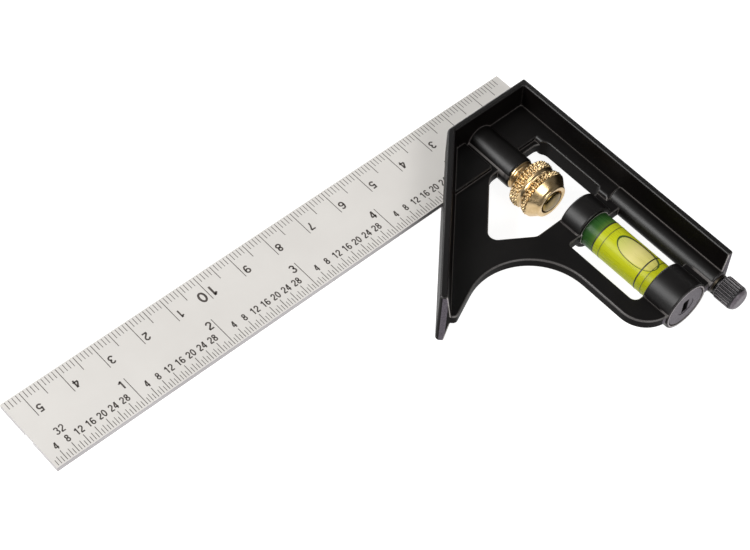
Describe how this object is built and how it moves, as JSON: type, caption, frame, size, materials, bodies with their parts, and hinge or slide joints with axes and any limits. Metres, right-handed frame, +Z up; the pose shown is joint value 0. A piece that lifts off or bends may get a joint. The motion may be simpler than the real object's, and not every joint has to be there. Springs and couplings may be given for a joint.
{
  "type": "combination square",
  "caption": "Combination square: a steel rule that slides through a cast head with a 90 degree and a 45 degree face, a lock nut, a spirit level and a pull-out scriber.",
  "frame": {"origin": "bottom centre of the bounding box, with the square lying flat on the face of its rims", "axes": "+X along the rule towards the head's 90 degree face, +Y from the head to the rule, +Z up through the head's thickness"},
  "size_m": [0.155, 0.0888, 0.0176],
  "materials": {
    "head_paint": "satin black paint",
    "rule_steel": "satin",
    "brass": "turned",
    "spring_steel": "drawn wire",
    "clear_acrylic": "clear",
    "level_liquid": "clear yellow-green",
    "clear_plug": "clear",
    "cap_metal": "dull grey plating",
    "needle_steel": "ground",
    "knob_black": "satin black"
  },
  "bodies": {
    "head": {"head_casting": "head_paint", "lock_spring": "spring_steel", "vial_barrel": "clear_acrylic", "vial_liquid": "level_liquid", "vial_plug": "clear_plug", "vial_end_cap": "cap_metal", "scriber_bush": "brass"},
    "rule": {"blade": "rule_steel"},
    "bolt": {"lock_bolt": "brass"},
    "nut": {"lock_nut": "brass"},
    "scriber": {"scriber_needle": "needle_steel", "scriber_knob": "knob_black"}
  },
  "joints": [
    {"name": "rule_slide", "type": "slide", "parent": "head", "child": "rule", "axis": [1, 0, 0], "range_m": [-0.01, 0.11]},
    {"name": "nut_turn", "type": "hinge", "parent": "head", "child": "nut", "pos_m": [0.0597, 0.012, 0.0088], "axis": [0, -1, 0], "range_deg": [0, 360]},
    {"name": "bolt_slide", "type": "slide", "parent": "head", "child": "bolt", "axis": [0, 1, 0], "range_m": [0, 0.0008], "deforming": ["lock_spring"]},
    {"name": "scriber_slide", "type": "slide", "parent": "head", "child": "scriber", "axis": [0, -1, 0], "range_m": [0, 0.045]}
  ],
  "couplings": [
    {"joint": "bolt_slide", "follows": "nut_turn", "m_per_rad": 0.000127}
  ]
}
